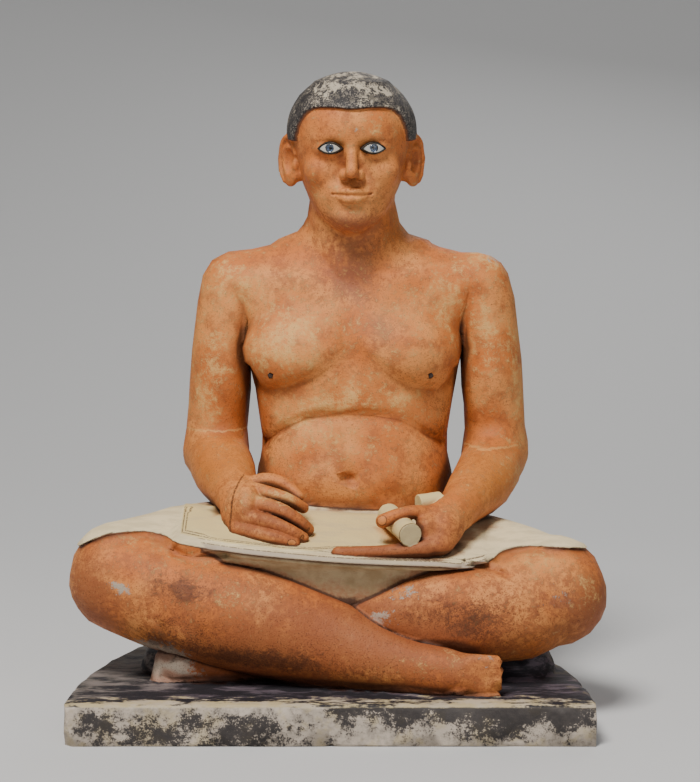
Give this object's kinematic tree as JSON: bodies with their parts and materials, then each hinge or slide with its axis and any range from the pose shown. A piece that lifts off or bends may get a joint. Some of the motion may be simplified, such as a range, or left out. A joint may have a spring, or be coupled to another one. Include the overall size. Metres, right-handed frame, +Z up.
{
  "type": "seated scribe statue",
  "caption": "Painted stone statue of a scribe sitting cross-legged on a round-backed plinth, in a short kilt, a papyrus sheet on his lap, with inlaid eyes.",
  "frame": {"origin": "middle of the bounding box, on the plinth's underside", "axes": "+X to the figure's left, +Y from his front to his back, +Z up"},
  "size_m": [0.4498, 0.35, 0.5368],
  "materials": {
    "limestone": "limestone painted red-ochre, white and black, worn",
    "copper": "dark patinated copper",
    "magnesite": "polished white stone",
    "crystal": "polished rock crystal",
    "peg_wood": "dark aged wood"
  },
  "bodies": {
    "root": {"statue": "limestone", "eye_rim_right": "copper", "eye_rim_left": "copper", "eye_white_right": "magnesite", "eye_white_left": "magnesite", "eye_crystal_right": "crystal", "eye_crystal_left": "crystal", "nipple_peg_right": "peg_wood", "nipple_peg_left": "peg_wood"}
  },
  "joints": []
}
